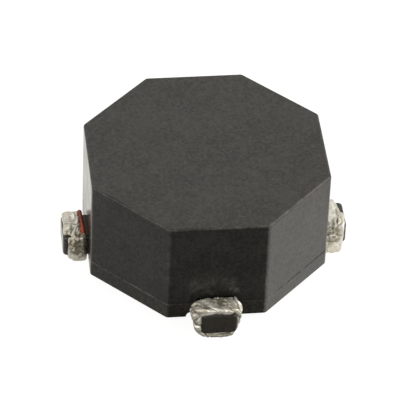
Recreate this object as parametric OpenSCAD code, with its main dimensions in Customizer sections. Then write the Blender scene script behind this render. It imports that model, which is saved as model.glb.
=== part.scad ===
/* [Body] */
// Width of the octagonal body across its flats
body_af = 11.4; // [11.3:0.1:12]
// Height of the whole part above the board
total_h = 5.95; // [5.85:0.05:6.4]
// Gap between the board and the underside of the header
standoff = 0.4; // [0.35:0.01:0.42]
// Height of the header's rim, up to its joint with the cap
rim_h = 0.9; // [0.8:0.05:1]
// Thickness of the header's floor
floor_t = 0.6; // [0.5:0.05:0.62]
// Thickness of the header's rim
rim_t = 0.7; // [0.65:0.01:0.72]
// Thickness of the cap's sides and top
cap_t = 0.65; // [0.55:0.05:0.7]
// Radius of the body's upright corners
corner_r = 0.25; // [0.2:0.05:0.4]
// Radius of the cap's top edge
edge_r = 0.12; // [0.04:0.02:0.16]

/* [Cap joint] */
// Width of the spigot on the header that the cap fits over
spigot_t = 0.32; // [0.25:0.01:0.35]
// Height of the spigot above the joint
spigot_h = 0.45; // [0.4:0.05:0.6]
// Thickness of the glue line between the spigot and the cap
glue_t = 0.06; // [0.04:0.01:0.1]
// Chamfer on both sides of the joint line
joint_bevel = 0.05; // [0.02:0.01:0.08]

/* [Posts] */
// Length over the ends of two opposite posts
post_span = 13.8; // [13.7:0.05:14.4]
// Width of a post
post_w = 1.75; // [1.6:0.05:1.8]
// Height of a post
post_h = 1.25; // [1.1:0.05:1.25]
// Distance that a post drops below the underside of the header
post_drop = 0.07; // [0.02:0.01:0.1]
// Radius along the post's four long edges
post_r = 0.22; // [0.15:0.01:0.3]
// Radius round the post's end face
post_end_r = 0.2; // [0.1:0.02:0.2]

/* [Core] */
// Outer diameter of the toroid
core_od = 8.4; // [8:0.1:8.4]
// Inner diameter of the toroid
core_id = 4.3; // [4.3:0.1:4.8]
// Height of the toroid
core_h = 3.4; // [3:0.1:3.4]
// Radius of the toroid's edges
core_r = 0.4; // [0.4:0.05:0.6]

/* [Winding] */
// Diameter of the enamelled wire
wire_d = 0.25; // [0.2:0.01:0.25]
// Turns in each of the two windings
turns = 20; // [8:1:20]
// Part of the toroid that the windings cover, in degrees
wound_angle = 330; // [320:1:332]

/* [Solder] */
// Tinned turns on each post
wrap_turns = 3; // [2:1:3]
// Radial thickness of the soldered wrap
wrap_t = 0.36; // [0.34:0.01:0.4]
// Length of the wrap along the post
wrap_len = 0.74; // [0.7:0.01:0.8]
// Radius of one tinned turn
tinned_r = 0.13; // [0.12:0.01:0.14]

/* [Hidden] */

sides = 8;
step = 360 / sides;
slab = 0.01;
arc_fn = 64;

apothem = body_af / 2;
underside = standoff;
joint_z = underside + rim_h;
floor_z = underside + floor_t;
spigot_top = joint_z + spigot_h;
spigot_apothem = apothem - rim_t + spigot_t;
rebate_apothem = spigot_apothem + glue_t;
joint_gap = 0.05;
foot_bevel = 0.08;

// Every post and what goes with it is drawn at the right-hand terminal and turned into place.
post_end = post_span / 2;
post_z = underside - post_drop;
post_top = post_z + post_h;
post_mid = post_z + post_h / 2;

// The wrap stops just short of the post's end face.
end_reveal = 0.03;
wrap_out = post_end - end_reveal;
wrap_in = wrap_out - wrap_len;
wrap_base = wrap_t - tinned_r;

// The toroid stands on a bed of adhesive, on the turns that pass under it.
bed_t = 0.12;
fit = 0.01;
wire_gap = 0.05;
wire_r = wire_d / 2;
wire_sides = 8;
core_z = floor_z + bed_t + fit + wire_d + wire_gap;
boss_r = 1.6;
boss_h = 1.4;

// Centreline of a turn round the section of the toroid.
turn_out = core_od / 2 + wire_gap + wire_r;
turn_in = core_id / 2 - wire_gap - wire_r;
turn_low = core_z - wire_gap - wire_r;
turn_high = core_z + core_h + wire_gap + wire_r;
turn_bend = core_r + wire_gap + wire_r;
turn_pitch = wound_angle / turns;
wound_start = 240;

// The leads run round the toroid at this radius and leave through holes beside the posts.
lead_r = (turn_out + wire_r + apothem - rim_t) / 2;
groove_w = 0.5;
groove_h = 0.35;
groove_y = post_w / 2 + 0.065 + groove_w / 2;
groove_z = underside + 0.16;
hole_x = sqrt(pow(lead_r, 2) - pow(groove_y, 2));
hole_angle = atan2(groove_y, hole_x);
low_lead_z = floor_z + 0.2;
high_lead_z = floor_z + 0.9;

right = 0;
rear = 90;
left = 180;
front = 270;

// A solid lofted through rings of points, each ring running anticlockwise round the way ahead.
module loft(rings) {
    count = len(rings[0]);
    last = len(rings) - 1;
    walls = [
        for (i = [0 : last - 1], k = [0 : count - 1])
            let (m = (k + 1) % count, low = i * count, high = low + count)
            each [[low + k, high + k, high + m], [low + k, high + m, low + m]]
    ];
    first_end = [for (k = [0 : count - 1]) k];
    last_end = [for (k = [count - 1 : -1 : 0]) last * count + k];
    polyhedron([for (ring = rings) each ring], concat(walls, [first_end, last_end]), convexity = 10);
}

// Outline of the body, drawn in by inset, with true flats and rounded corners.
function body_ring(z, inset) = [
    for (k = [0 : sides - 1], a = [-step / 2 : step / 4 : step / 2])
        let (corner = step * (k + 0.5), reach = (apothem - corner_r) / cos(step / 2))
        [
            reach * cos(corner) + (corner_r - inset) * cos(corner + a),
            reach * sin(corner) + (corner_r - inset) * sin(corner + a),
            z
        ]
];

module octagon(flat) {
    rotate(step / 2) circle(r = flat / cos(step / 2), $fn = sides);
}

module octagonal_prism(flat, z0, z1) {
    translate([0, 0, z0]) linear_extrude(z1 - z0) octagon(flat);
}

module octagonal_ring(outer, inner, z0, z1) {
    translate([0, 0, z0]) linear_extrude(z1 - z0) difference() {
        octagon(outer);
        octagon(inner);
    }
}

// Section of a post at x, drawn in by inset.
function post_ring(x, inset) = [
    for (k = [0 : 3], a = [0 : 22.5 : 90])
        let (
            y = (k == 0 || k == 3 ? 1 : -1) * (post_w / 2 - post_r),
            z = (k < 2 ? 1 : -1) * (post_h / 2 - post_r),
            r = post_r - inset
        )
        [x, y + r * cos(90 * k + a), post_mid + z + r * sin(90 * k + a)]
];

module post() {
    loft([
        post_ring(apothem - rim_t + slab, 0),
        for (a = [0 : 22.5 : 90])
            post_ring(post_end - post_end_r * (1 - sin(a)), post_end_r * (1 - cos(a)))
    ]);
}

// Half-round groove under the floor, with a hole up into the body at its inner end.
module lead_way() {
    translate([hole_x, -groove_y, underside - slab]) {
        rotate([90, 0, 90]) linear_extrude(apothem) {
            translate([-groove_w / 2, 0]) square([groove_w, groove_h - groove_w / 2 + slab]);
            translate([0, groove_h - groove_w / 2 + slab]) circle(d = groove_w, $fn = arc_fn);
        }
        cylinder(d = groove_w, h = floor_t + 2 * slab, $fn = arc_fn);
    }
}

// Room for the root of a post where it passes through the cap's rim.
module post_gate() {
    translate([apothem - rim_t, -post_w / 2 - joint_gap, joint_z - slab])
        cube([rim_t + slab, post_w + 2 * joint_gap, post_top + joint_gap - joint_z + slab]);
}

module header() {
    color("#3a3836") {
        difference() {
            union() {
                difference() {
                    loft([
                        body_ring(underside, foot_bevel),
                        body_ring(underside + foot_bevel, 0),
                        body_ring(joint_z - joint_bevel, 0),
                        body_ring(joint_z, joint_bevel)
                    ]);
                    octagonal_prism(apothem - rim_t, floor_z, joint_z + slab);
                }
                octagonal_ring(spigot_apothem, apothem - rim_t, floor_z, spigot_top);
                for (turn = [right, rear, left, front]) rotate(turn) post();
            }
            for (turn = [right, rear, left, front]) rotate(turn) lead_way();
        }
        translate([0, 0, floor_z - slab]) {
            cylinder(r = boss_r, h = boss_h - 0.2 + slab, $fn = arc_fn);
            translate([0, 0, boss_h - 0.2 + slab])
                cylinder(r1 = boss_r, r2 = boss_r - 0.2, h = 0.2, $fn = arc_fn);
        }
    }
}

module cap() {
    color("#3e3c3a") difference() {
        loft([
            body_ring(joint_z, joint_bevel),
            body_ring(joint_z + joint_bevel, 0),
            for (a = [0 : 22.5 : 90])
                body_ring(total_h - edge_r * (1 - sin(a)), edge_r * (1 - cos(a)))
        ]);
        octagonal_prism(apothem - cap_t, joint_z - slab, total_h - cap_t);
        octagonal_prism(rebate_apothem, joint_z - slab, spigot_top + joint_gap);
        for (turn = [right, rear, left, front]) rotate(turn) post_gate();
    }
}

// Glue line of the cap, open where the posts pass through.
module cap_adhesive() {
    color("#8d8778") difference() {
        octagonal_ring(rebate_apothem, spigot_apothem, joint_z, spigot_top);
        for (turn = [right, rear, left, front]) rotate(turn) post_gate();
    }
}

module core_adhesive() {
    color("#a39a82") translate([0, 0, floor_z]) difference() {
        cylinder(r = turn_out - 0.1, h = bed_t, $fn = arc_fn);
        translate([0, 0, -slab]) cylinder(r = boss_r + 0.4, h = bed_t + 2 * slab, $fn = arc_fn);
    }
}

// Square section with rounded corners, drawn out of true arcs.
module toroid_section(w, h, r) {
    translate([r, 0]) square([w - 2 * r, h]);
    translate([0, r]) square([w, h - 2 * r]);
    for (x = [r, w - r], y = [r, h - r]) translate([x, y]) circle(r = r, $fn = arc_fn);
}

module toroid_core() {
    color("#5d6066") translate([0, 0, core_z]) rotate_extrude($fn = arc_fn)
        translate([core_id / 2, 0]) toroid_section((core_od - core_id) / 2, core_h, core_r);
}

function polar(r, angle, z) = [r * cos(angle), r * sin(angle), z];

function turned(points, angle) = [
    for (p = points)
        [p.x * cos(angle) - p.y * sin(angle), p.x * sin(angle) + p.y * cos(angle), p.z]
];

function reversed(points) = [for (i = [len(points) - 1 : -1 : 0]) points[i]];

// The lead at a terminal: from its butt on the wrap, over the post and in through the groove.
side_y = post_w / 2 + wire_r + fit;
post_bend = post_r + wire_r + fit;
bend_y = post_w / 2 - post_r;
bend_z = post_top - post_r;
neck_right = wrap_in - 0.21;
neck_left = wrap_in - 0.15;

function terminal_lead(z) = concat(
    [
        [wrap_in, side_y, post_mid],
        [wrap_in - 0.07, side_y, post_mid],
        [neck_right + 0.03, side_y, post_mid + 0.12]
    ],
    [for (a = [0 : 22.5 : 90]) [neck_right, bend_y + post_bend * cos(a), bend_z + post_bend * sin(a)]],
    [for (a = [90 : 22.5 : 180]) [neck_left, post_bend * cos(a) - bend_y, bend_z + post_bend * sin(a)]],
    [
        [neck_left - 0.02, -side_y, post_mid - 0.15],
        [neck_left - 0.1, -(side_y + groove_y) / 2, groove_z + 0.06],
        [apothem, -groove_y, groove_z],
        [hole_x + 0.14, -groove_y, groove_z],
        [hole_x, -groove_y, groove_z + 0.14],
        [hole_x, -groove_y, z - 0.14]
    ]
);

// A run round the toroid from one angle to another, both ends included.
function lead_run(from, to, z, count) = [
    for (i = [0 : count]) polar(lead_r, from + (to - from) * i / count, z)
];

// All the turns of one winding: up the outside, in over the top, down the bore and out below.
// The last turn stops half-way round its last corner, where the lead leaves it.
function turn_points(start) = [
    for (n = [0 : turns - 1], c = [0 : 3], a = [0, 45, 90])
        if (n < turns - 1 || c < 3 || a < 90) let (
            r = (c == 0 || c == 3 ? turn_out - turn_bend : turn_in + turn_bend),
            z = (c < 2 ? turn_high - turn_bend : turn_low + turn_bend),
            bend = 90 * c + a
        )
        polar(
            r + turn_bend * cos(bend),
            start + turn_pitch * (n + (3 * c + a / 45) / 12),
            z + turn_bend * sin(bend)
        )
];

function winding_route(start, first_post, last_post, z, first_count, last_count) =
    let (
        last = start + turn_pitch * (turns - 1 / 6),
        first_hole = first_post - hole_angle,
        last_hole = last_post - hole_angle
    )
    concat(
        turned(terminal_lead(z), first_post),
        lead_run(first_hole - 2, start + 7, z, first_count),
        [polar(turn_out + 0.03, start + 1, z + 0.25)],
        turn_points(start),
        [polar(turn_out + 0.12, last - 2, (z + turn_low + turn_bend / 2) / 2)],
        lead_run(last - 8, last_hole + 2, z, last_count),
        reversed(turned(terminal_lead(z), last_post))
    );

function unit(v) = v / norm(v);

function tangents(route) = [
    for (i = [0 : len(route) - 1])
        unit(route[min(i + 1, len(route) - 1)] - route[max(i - 1, 0)])
];

function across(v, t) = unit(v - (v * t) * t);

// A round wire swept along a route, as rings that turn with it without twisting.
module wire(route) {
    t = tangents(route);
    n = [for (i = 0, v = across([0, 1, 0.2], t[0]); i < len(route);
              i = i + 1, v = across(v, t[min(i, len(route) - 1)])) v];
    loft([
        for (i = [0 : len(route) - 1]) [
            for (k = [0 : wire_sides - 1])
                let (a = 360 * k / wire_sides)
                route[i] + wire_r * (cos(a) * n[i] + sin(a) * cross(t[i], n[i]))
        ]
    ]);
}

module winding_a() {
    color("#a3472c")
        wire(winding_route(wound_start, front, left + 360, low_lead_z, 1, 4));
}

module winding_b() {
    color("#b0532f")
        wire(winding_route(wound_start + turn_pitch / 2, right + 360, rear + 360, high_lead_z, 9, 14));
}

// Section of the wrap: a bed of solder with the tinned turns standing out of it.
module wrap_profile() {
    first = tinned_r + 0.02;
    pitch = (wrap_len - 2 * first) / (wrap_turns - 1);
    translate([post_r, 0]) {
        square([wrap_base, wrap_len]);
        for (i = [0 : wrap_turns - 1])
            translate([wrap_base, first + pitch * i]) circle(r = tinned_r, $fn = arc_fn);
    }
}

module wrap_side(reach, len) {
    translate([reach, 0, 0]) rotate([90, 0, 0])
        linear_extrude(len, center = true) wrap_profile();
}

// The wrap round the post's section: four straight sides joined by four quarter turns.
module wrap_ring() {
    half_h = post_h / 2 - post_r;
    half_w = post_w / 2 - post_r;
    for (k = [0, 2]) rotate(90 * k) {
        wrap_side(half_h, 2 * half_w);
        rotate(90) wrap_side(half_w, 2 * half_h);
        translate([half_h, half_w, 0])
            rotate_extrude(angle = 90, $fn = arc_fn) wrap_profile();
        translate([-half_h, half_w, 0]) rotate(90)
            rotate_extrude(angle = 90, $fn = arc_fn) wrap_profile();
    }
}

// The land that the board's pad meets, with a foot of solder drawn in towards the body.
module solder_land() {
    land_w = 1.2;
    translate([0, land_w / 2, 0]) rotate([90, 0, 0]) linear_extrude(land_w)
        polygon([
            [wrap_out - tinned_r, 0], [wrap_in - 0.2, 0], [wrap_in - 0.34, 0.08],
            [apothem + 0.04, post_z], [wrap_out - tinned_r, post_z]
        ]);
}

module solder_wrap(turn) {
    color("#cfccc2") rotate(turn) difference() {
        union() {
            translate([wrap_in, 0, post_mid]) rotate([0, 90, 0]) wrap_ring();
            solder_land();
        }
        translate([wrap_in - 1, -post_w, -1]) cube([wrap_len + 2, 2 * post_w, 1]);
    }
}

header();
cap();
toroid_core();
winding_a();
winding_b();
core_adhesive();
cap_adhesive();
solder_wrap(right);  // solder_wrap_right
solder_wrap(rear);  // solder_wrap_rear
solder_wrap(left);  // solder_wrap_left
solder_wrap(front);  // solder_wrap_front
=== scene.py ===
# Shielded SMD inductor: an octagonal cap glued to a header with four posts, each wound with the
# tinned end of a winding.
import math

import bpy
from mathutils import Matrix, Vector


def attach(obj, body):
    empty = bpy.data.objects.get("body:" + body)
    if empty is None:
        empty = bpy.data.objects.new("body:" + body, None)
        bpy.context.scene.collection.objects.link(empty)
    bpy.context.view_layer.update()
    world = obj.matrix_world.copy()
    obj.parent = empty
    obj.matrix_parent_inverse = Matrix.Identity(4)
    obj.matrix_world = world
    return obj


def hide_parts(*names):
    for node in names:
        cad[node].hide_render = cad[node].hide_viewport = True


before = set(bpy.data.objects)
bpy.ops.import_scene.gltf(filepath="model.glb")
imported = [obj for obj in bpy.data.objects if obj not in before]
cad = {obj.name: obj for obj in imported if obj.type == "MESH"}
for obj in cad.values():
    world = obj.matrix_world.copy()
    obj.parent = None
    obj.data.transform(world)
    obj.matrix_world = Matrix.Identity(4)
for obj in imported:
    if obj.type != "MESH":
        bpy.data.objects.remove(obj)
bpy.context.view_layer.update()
mm = 0.001

# The four terminals, each with the way that it faces in degrees, anticlockwise from +X.
facing = {"right": 0, "rear": 90, "left": 180, "front": 270}

colourA, colourB, colourOut = 6, 7, 2  # the colour sockets of a Mix node, two in and one out
nodeGap = (190, -260)  # between the nodes of a tree in the editor, where they stand in rows
nodesInRow = 10


# Gives a node its inputs; a node given as an input stands for its first output.
def feed(tree, node, inputs):
    for name, value in inputs.items():
        if isinstance(value, bpy.types.Node):
            value = value.outputs[0]
        if isinstance(value, bpy.types.NodeSocket):
            tree.links.new(value, node.inputs[name])
        else:
            node.inputs[name].default_value = value


def addNode(tree, kind, inputs=None, **settings):
    made = tree.nodes.new(kind)
    row, column = divmod(len(tree.nodes), nodesInRow)
    made.location = (nodeGap[0] * column, nodeGap[1] * row)
    for name, value in settings.items():
        setattr(made, name, value)
    feed(tree, made, inputs or {})
    return made


# An sRGB colour such as "c8c0b0" as the linear colour that a socket takes.
def linear(colour):
    parts = [int(colour[i:i + 2], 16) / 255 for i in (0, 2, 4)]
    return [c / 12.92 if c < 0.04045 else ((c + 0.055) / 1.055) ** 2.4 for c in parts] + [1]


def newMaterial(name):
    material = bpy.data.materials.new(name)
    material.use_nodes = True
    tree = material.node_tree
    tree.nodes.clear()
    shader = addNode(tree, "ShaderNodeBsdfPrincipled")
    addNode(tree, "ShaderNodeOutputMaterial", {"Surface": shader})
    place = addNode(tree, "ShaderNodeTexCoord").outputs["Object"]
    return material, tree, shader, place


def paint(node, material):
    cad[node].data.materials.clear()
    cad[node].data.materials.append(material)


def newTree(name, inputs):
    tree = bpy.data.node_groups.new(name, "GeometryNodeTree")
    tree.interface.new_socket("Geometry", in_out="OUTPUT", socket_type="NodeSocketGeometry")
    tree.interface.new_socket("Geometry", in_out="INPUT", socket_type="NodeSocketGeometry")
    for title, kind in inputs.items():
        tree.interface.new_socket(title, in_out="INPUT", socket_type="NodeSocket" + kind)
    return tree, addNode(tree, "NodeGroupInput").outputs


# Ends a tree: the millimetres become metres, turned to the terminal, as one smooth mesh in its
# material.
def endTree(tree, shape, turned, material):
    turn = addNode(tree, "ShaderNodeCombineXYZ", {"Z": turned})
    placed = addNode(tree, "GeometryNodeTransform", {
        "Geometry": shape, "Rotation": turn, "Scale": (mm, mm, mm),
    })
    smooth = addNode(tree, "GeometryNodeSetShadeSmooth", {"Geometry": placed})
    real = addNode(tree, "GeometryNodeRealizeInstances", {"Geometry": smooth})
    painted = addNode(tree, "GeometryNodeSetMaterial", {"Geometry": real, "Material": material})
    addNode(tree, "NodeGroupOutput", {"Geometry": painted})


# A new piece: the tree runs on the starting mesh and its result becomes the piece's own mesh.
def growPiece(name, start, tree, values):
    piece = bpy.data.objects.new(name, start)
    bpy.context.scene.collection.objects.link(piece)
    modifier = piece.modifiers.new(tree.name, "NODES")
    modifier.node_group = tree
    for item in tree.interface.items_tree:
        if item.in_out == "INPUT" and item.name in values:
            modifier[item.identifier] = values[item.name]
    evaluated = piece.evaluated_get(bpy.context.evaluated_depsgraph_get())
    grown = bpy.data.meshes.new_from_object(evaluated)
    piece.modifiers.clear()
    piece.data = grown
    grown.name = name
    print(name, len(grown.polygons), "faces")
    return piece


# Glass-filled thermoset, compression moulded: charcoal rather than black, satin, with a fine blasted
# grain on every face, faint drag lines up the sides and a paler rub on the edges, partly wear and partly a
# painted highlight. Millimetres.
moulding = {
    "mottleColour": "20201e",
    # The pale of the edge rub is partly wear and partly a painted highlight.
    "rubHighlightColour": "7d7970",
    "gapShadeColour": "080807",
    "apothem": 5.7,
    "cornerReach": 6.149,
    "postEnd": 6.9,
    "top": 5.95,
    "joint": 1.3,
    "edgeMargin": 0.03,
    "mottleSize": 1.4,
    "dragWidth": 0.16,
    "dragSqueeze": 0.03,  # of the heights, which draws the marks out along z
    "dragContrast": 0.12,
    "dragRelief": 0.25,
    "fleckSize": 0.14,  # the filler's flecks, drawn coarser to show
    "fleckContrast": 0.5,
    "fleckLustre": (0.39, 0.61),  # the specular level of the dullest and the brightest fleck
    "grainSize": 0.11,  # blast marks are about 0.03 mm, drawn coarser to show
    "grainDepth": 0.006,
    "grainStrength": 0.25,
    "endPaleness": 0.4,
    "topRubAndHighlight": (0.12, 0.06),  # how far short of a sharp edge the rub begins and where it is full
    "cornerRubAndHighlight": 0.45,
    "rubSize": 0.7,
    "leastRub": 0.15,
    "rubShade": 0.75,
    "leftRightSpan": 4,
    "leftRightStrength": (0.45, 1.15),  # how strong the rub is on the left and on the right
    "smearBand": (0.08, 0.01),  # these bands fade in from the first distance to the second
    "gapBand": (0.16, 0.02),
    "lipBand": (0.07, 0.03),
    "jointLine": 0.005,
    "gapShade": 0.7,
    "lipDullness": 0.2,
    "wipeSize": 1.6,
    "wipeSeed": 3.3,
    "speckSpacing": 0.9,
    "speckRadius": (0.05, 0.02),  # as a share of the spacing; the dot fades in between the two
    "speckChance": 0.2,
    "roughness": (0.17, 0.24),
    "scuffRoughness": 0.35,
    "ior": 1.46,
}


# Where a point of the moulding lies: how far out towards a post's end and towards a side, how high,
# and how far from the middle.
def mouldingPlaces(tree, inMm):
    mirrored = addNode(tree, "ShaderNodeVectorMath", {0: inMm}, operation="ABSOLUTE")
    x, y, height = addNode(tree, "ShaderNodeSeparateXYZ", {0: mirrored}).outputs
    straight = addNode(tree, "ShaderNodeMath", {0: x, 1: y}, operation="MAXIMUM")
    both = addNode(tree, "ShaderNodeMath", {0: x, 1: y}, operation="ADD")
    slanted = addNode(tree, "ShaderNodeMath", {0: both, 1: math.sqrt(0.5)}, operation="MULTIPLY")
    side = addNode(tree, "ShaderNodeMath", {0: straight, 1: slanted}, operation="MAXIMUM")
    level = addNode(tree, "ShaderNodeVectorMath", {0: inMm, 1: (1, 1, 0)}, operation="MULTIPLY")
    reach = addNode(tree, "ShaderNodeVectorMath", {0: level}, operation="LENGTH").outputs["Value"]
    return straight, side, height, reach


# The rub on the edge round the top and on the upright corners, partly wear and partly a painted highlight,
# stronger to the right than to the left.
def edgeRubAndHighlight(tree, inMm, side, height, reach, onBody):
    m = moulding
    outer = addNode(tree, "ShaderNodeMath", {0: side, 1: height}, operation="ADD")
    sharpEdge = m["apothem"] + m["top"]
    topEdge = addNode(tree, "ShaderNodeMapRange", {
        "Value": outer, "From Min": sharpEdge - m["topRubAndHighlight"][0], "From Max": sharpEdge - m["topRubAndHighlight"][1],
    })
    corner = addNode(tree, "ShaderNodeMapRange", {
        "Value": reach, "From Min": m["cornerReach"] - m["edgeMargin"], "From Max": m["cornerReach"],
        "To Max": m["cornerRubAndHighlight"],
    })
    bodyCorner = addNode(tree, "ShaderNodeMath", {0: corner, 1: onBody}, operation="MULTIPLY")
    edge = addNode(tree, "ShaderNodeMath", {0: topEdge, 1: bodyCorner}, operation="MAXIMUM")
    rub = addNode(tree, "ShaderNodeTexNoise", {
        "Vector": inMm, "Scale": 1 / m["rubSize"], "Detail": 6, "Roughness": 0.7,
    })
    patchy = addNode(tree, "ShaderNodeMapRange", {
        "Value": rub, "From Min": 0.42, "From Max": 0.64, "To Min": m["leastRub"],
    })
    across = addNode(tree, "ShaderNodeSeparateXYZ", {0: inMm})
    leftToRight = addNode(tree, "ShaderNodeMapRange", {
        "Value": across, "From Min": -m["leftRightSpan"], "From Max": m["leftRightSpan"],
        "To Min": m["leftRightStrength"][0], "To Max": m["leftRightStrength"][1],
    })
    rubbedAndLit = addNode(tree, "ShaderNodeMath", {0: edge, 1: patchy}, operation="MULTIPLY")
    return addNode(tree, "ShaderNodeMath", {0: rubbedAndLit, 1: leftToRight}, operation="MULTIPLY")


# Along the joint the glue was wiped off unevenly: a pale smear just below it here, and there an unfilled
# gap above it, darkened with painted shade. Elsewhere its lip is dull, so that the line hardly shows.
def jointMarks(tree, inMm, height, onBody):
    m = moulding
    above = addNode(tree, "ShaderNodeMath", {0: height, 1: m["joint"]}, operation="SUBTRACT")
    smearBand = addNode(tree, "ShaderNodeMapRange", {
        "Value": above, "From Min": -m["smearBand"][0], "From Max": -m["smearBand"][1],
    })
    gapBand = addNode(tree, "ShaderNodeMapRange", {
        "Value": above, "From Min": m["gapBand"][0], "From Max": m["gapBand"][1],
    })
    onHeader = addNode(tree, "ShaderNodeMath", {0: above, 1: m["jointLine"]}, operation="LESS_THAN")
    onCap = addNode(tree, "ShaderNodeMath", {0: above, 1: -m["jointLine"]}, operation="GREATER_THAN")
    wipe = addNode(tree, "ShaderNodeTexNoise", {
        "Vector": inMm, "W": m["wipeSeed"], "Scale": 1 / m["wipeSize"], "Detail": 3, "Roughness": 0.6,
    }, noise_dimensions="4D")
    wiped = addNode(tree, "ShaderNodeMapRange", {"Value": wipe, "From Min": 0.5, "From Max": 0.6})
    smeared = addNode(tree, "ShaderNodeMath", {0: wiped, 1: onBody}, operation="MULTIPLY")
    smearHere = addNode(tree, "ShaderNodeMath", {0: smearBand, 1: smeared}, operation="MULTIPLY")
    smear = addNode(tree, "ShaderNodeMath", {0: smearHere, 1: onHeader}, operation="MULTIPLY")
    unfilled = addNode(tree, "ShaderNodeMapRange", {"Value": wipe, "From Min": 0.47, "From Max": 0.4})
    gapHere = addNode(tree, "ShaderNodeMath", {0: gapBand, 1: unfilled}, operation="MULTIPLY")
    bodyGap = addNode(tree, "ShaderNodeMath", {0: gapHere, 1: onBody}, operation="MULTIPLY")
    gap = addNode(tree, "ShaderNodeMath", {0: bodyGap, 1: onCap}, operation="MULTIPLY")
    fromLip = addNode(tree, "ShaderNodeMath", {0: above}, operation="ABSOLUTE")
    lip = addNode(tree, "ShaderNodeMapRange", {
        "Value": fromLip, "From Min": m["lipBand"][0], "From Max": m["lipBand"][1],
    })
    bodyLip = addNode(tree, "ShaderNodeMath", {0: lip, 1: onBody}, operation="MULTIPLY")
    loss = addNode(tree, "ShaderNodeMapRange", {
        "Value": smeared, "To Min": -m["lipDullness"], "To Max": 0,
    })
    dulled = addNode(tree, "ShaderNodeMath", {0: bodyLip, 1: loss}, operation="MULTIPLY")
    return smear, gap, dulled


# Pale specks where the filler shows.
def fillerSpecks(tree, inMm):
    m = moulding
    cells = addNode(tree, "ShaderNodeTexVoronoi", {"Vector": inMm, "Scale": 1 / m["speckSpacing"]})
    dot = addNode(tree, "ShaderNodeMapRange", {
        "Value": cells, "From Min": m["speckRadius"][0], "From Max": m["speckRadius"][1],
    })
    draw = addNode(tree, "ShaderNodeSeparateColor", {0: cells.outputs["Color"]})
    chosen = addNode(tree, "ShaderNodeMath", {0: draw, 1: 1 - m["speckChance"]}, operation="GREATER_THAN")
    return addNode(tree, "ShaderNodeMath", {0: dot, 1: chosen}, operation="MULTIPLY")


# How pale a clean face is: mottled, faintly streaked and flecked. The ends of the posts are a little
# paler.
def mouldedTone(tree, straight, mottle, drag, flecks):
    m = moulding
    blotch = addNode(tree, "ShaderNodeMapRange", {"Value": mottle, "From Min": 0.35, "From Max": 0.65})
    dragFade = addNode(tree, "ShaderNodeMapRange", {
        "Value": drag, "From Min": 0.3, "From Max": 0.7,
        "To Min": -m["dragContrast"], "To Max": m["dragContrast"],
    })
    speckle = addNode(tree, "ShaderNodeMapRange", {
        "Value": flecks, "From Min": 0.3, "From Max": 0.7,
        "To Min": -m["fleckContrast"], "To Max": m["fleckContrast"],
    })
    streaked = addNode(tree, "ShaderNodeMath", {0: blotch, 1: dragFade}, operation="ADD")
    mixed = addNode(tree, "ShaderNodeMath", {0: streaked, 1: speckle}, operation="ADD")
    endFace = m["postEnd"] - m["edgeMargin"]
    atEnd = addNode(tree, "ShaderNodeMath", {0: straight, 1: endFace}, operation="GREATER_THAN")
    return addNode(tree, "ShaderNodeMath", {
        0: atEnd, 1: m["endPaleness"], 2: mixed,
    }, operation="MULTIPLY_ADD", use_clamp=True)


# The flecks catch the light on a satin ground, which is duller at the joint's lip and on a rub.
def mouldedShine(tree, mottle, flecks, pale, dulled):
    m = moulding
    flecked = addNode(tree, "ShaderNodeMapRange", {
        "Value": flecks, "From Min": 0.3, "From Max": 0.7,
        "To Min": m["fleckLustre"][0], "To Max": m["fleckLustre"][1],
    })
    lustre = addNode(tree, "ShaderNodeMath", {0: dulled, 1: flecked}, operation="ADD")
    gloss = addNode(tree, "ShaderNodeMapRange", {
        "Value": mottle, "From Min": 0.35, "From Max": 0.65,
        "To Min": m["roughness"][1], "To Max": m["roughness"][0],
    })
    scuffed = addNode(tree, "ShaderNodeMath", {
        0: pale, 1: m["scuffRoughness"], 2: gloss,
    }, operation="MULTIPLY_ADD")
    return lustre, scuffed


# The blasted grain with the drag lines in it.
def mouldedGrain(tree, inMm, drag):
    m = moulding
    grain = addNode(tree, "ShaderNodeTexNoise", {
        "Vector": inMm, "Scale": 1 / m["grainSize"], "Detail": 3, "Roughness": 0.6,
    })
    lines = addNode(tree, "ShaderNodeMath", {0: drag, 1: m["dragRelief"]}, operation="MULTIPLY")
    relief = addNode(tree, "ShaderNodeMath", {0: grain, 1: lines}, operation="ADD")
    return addNode(tree, "ShaderNodeBump", {
        "Height": relief, "Strength": m["grainStrength"], "Distance": m["grainDepth"] * mm,
    })


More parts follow.
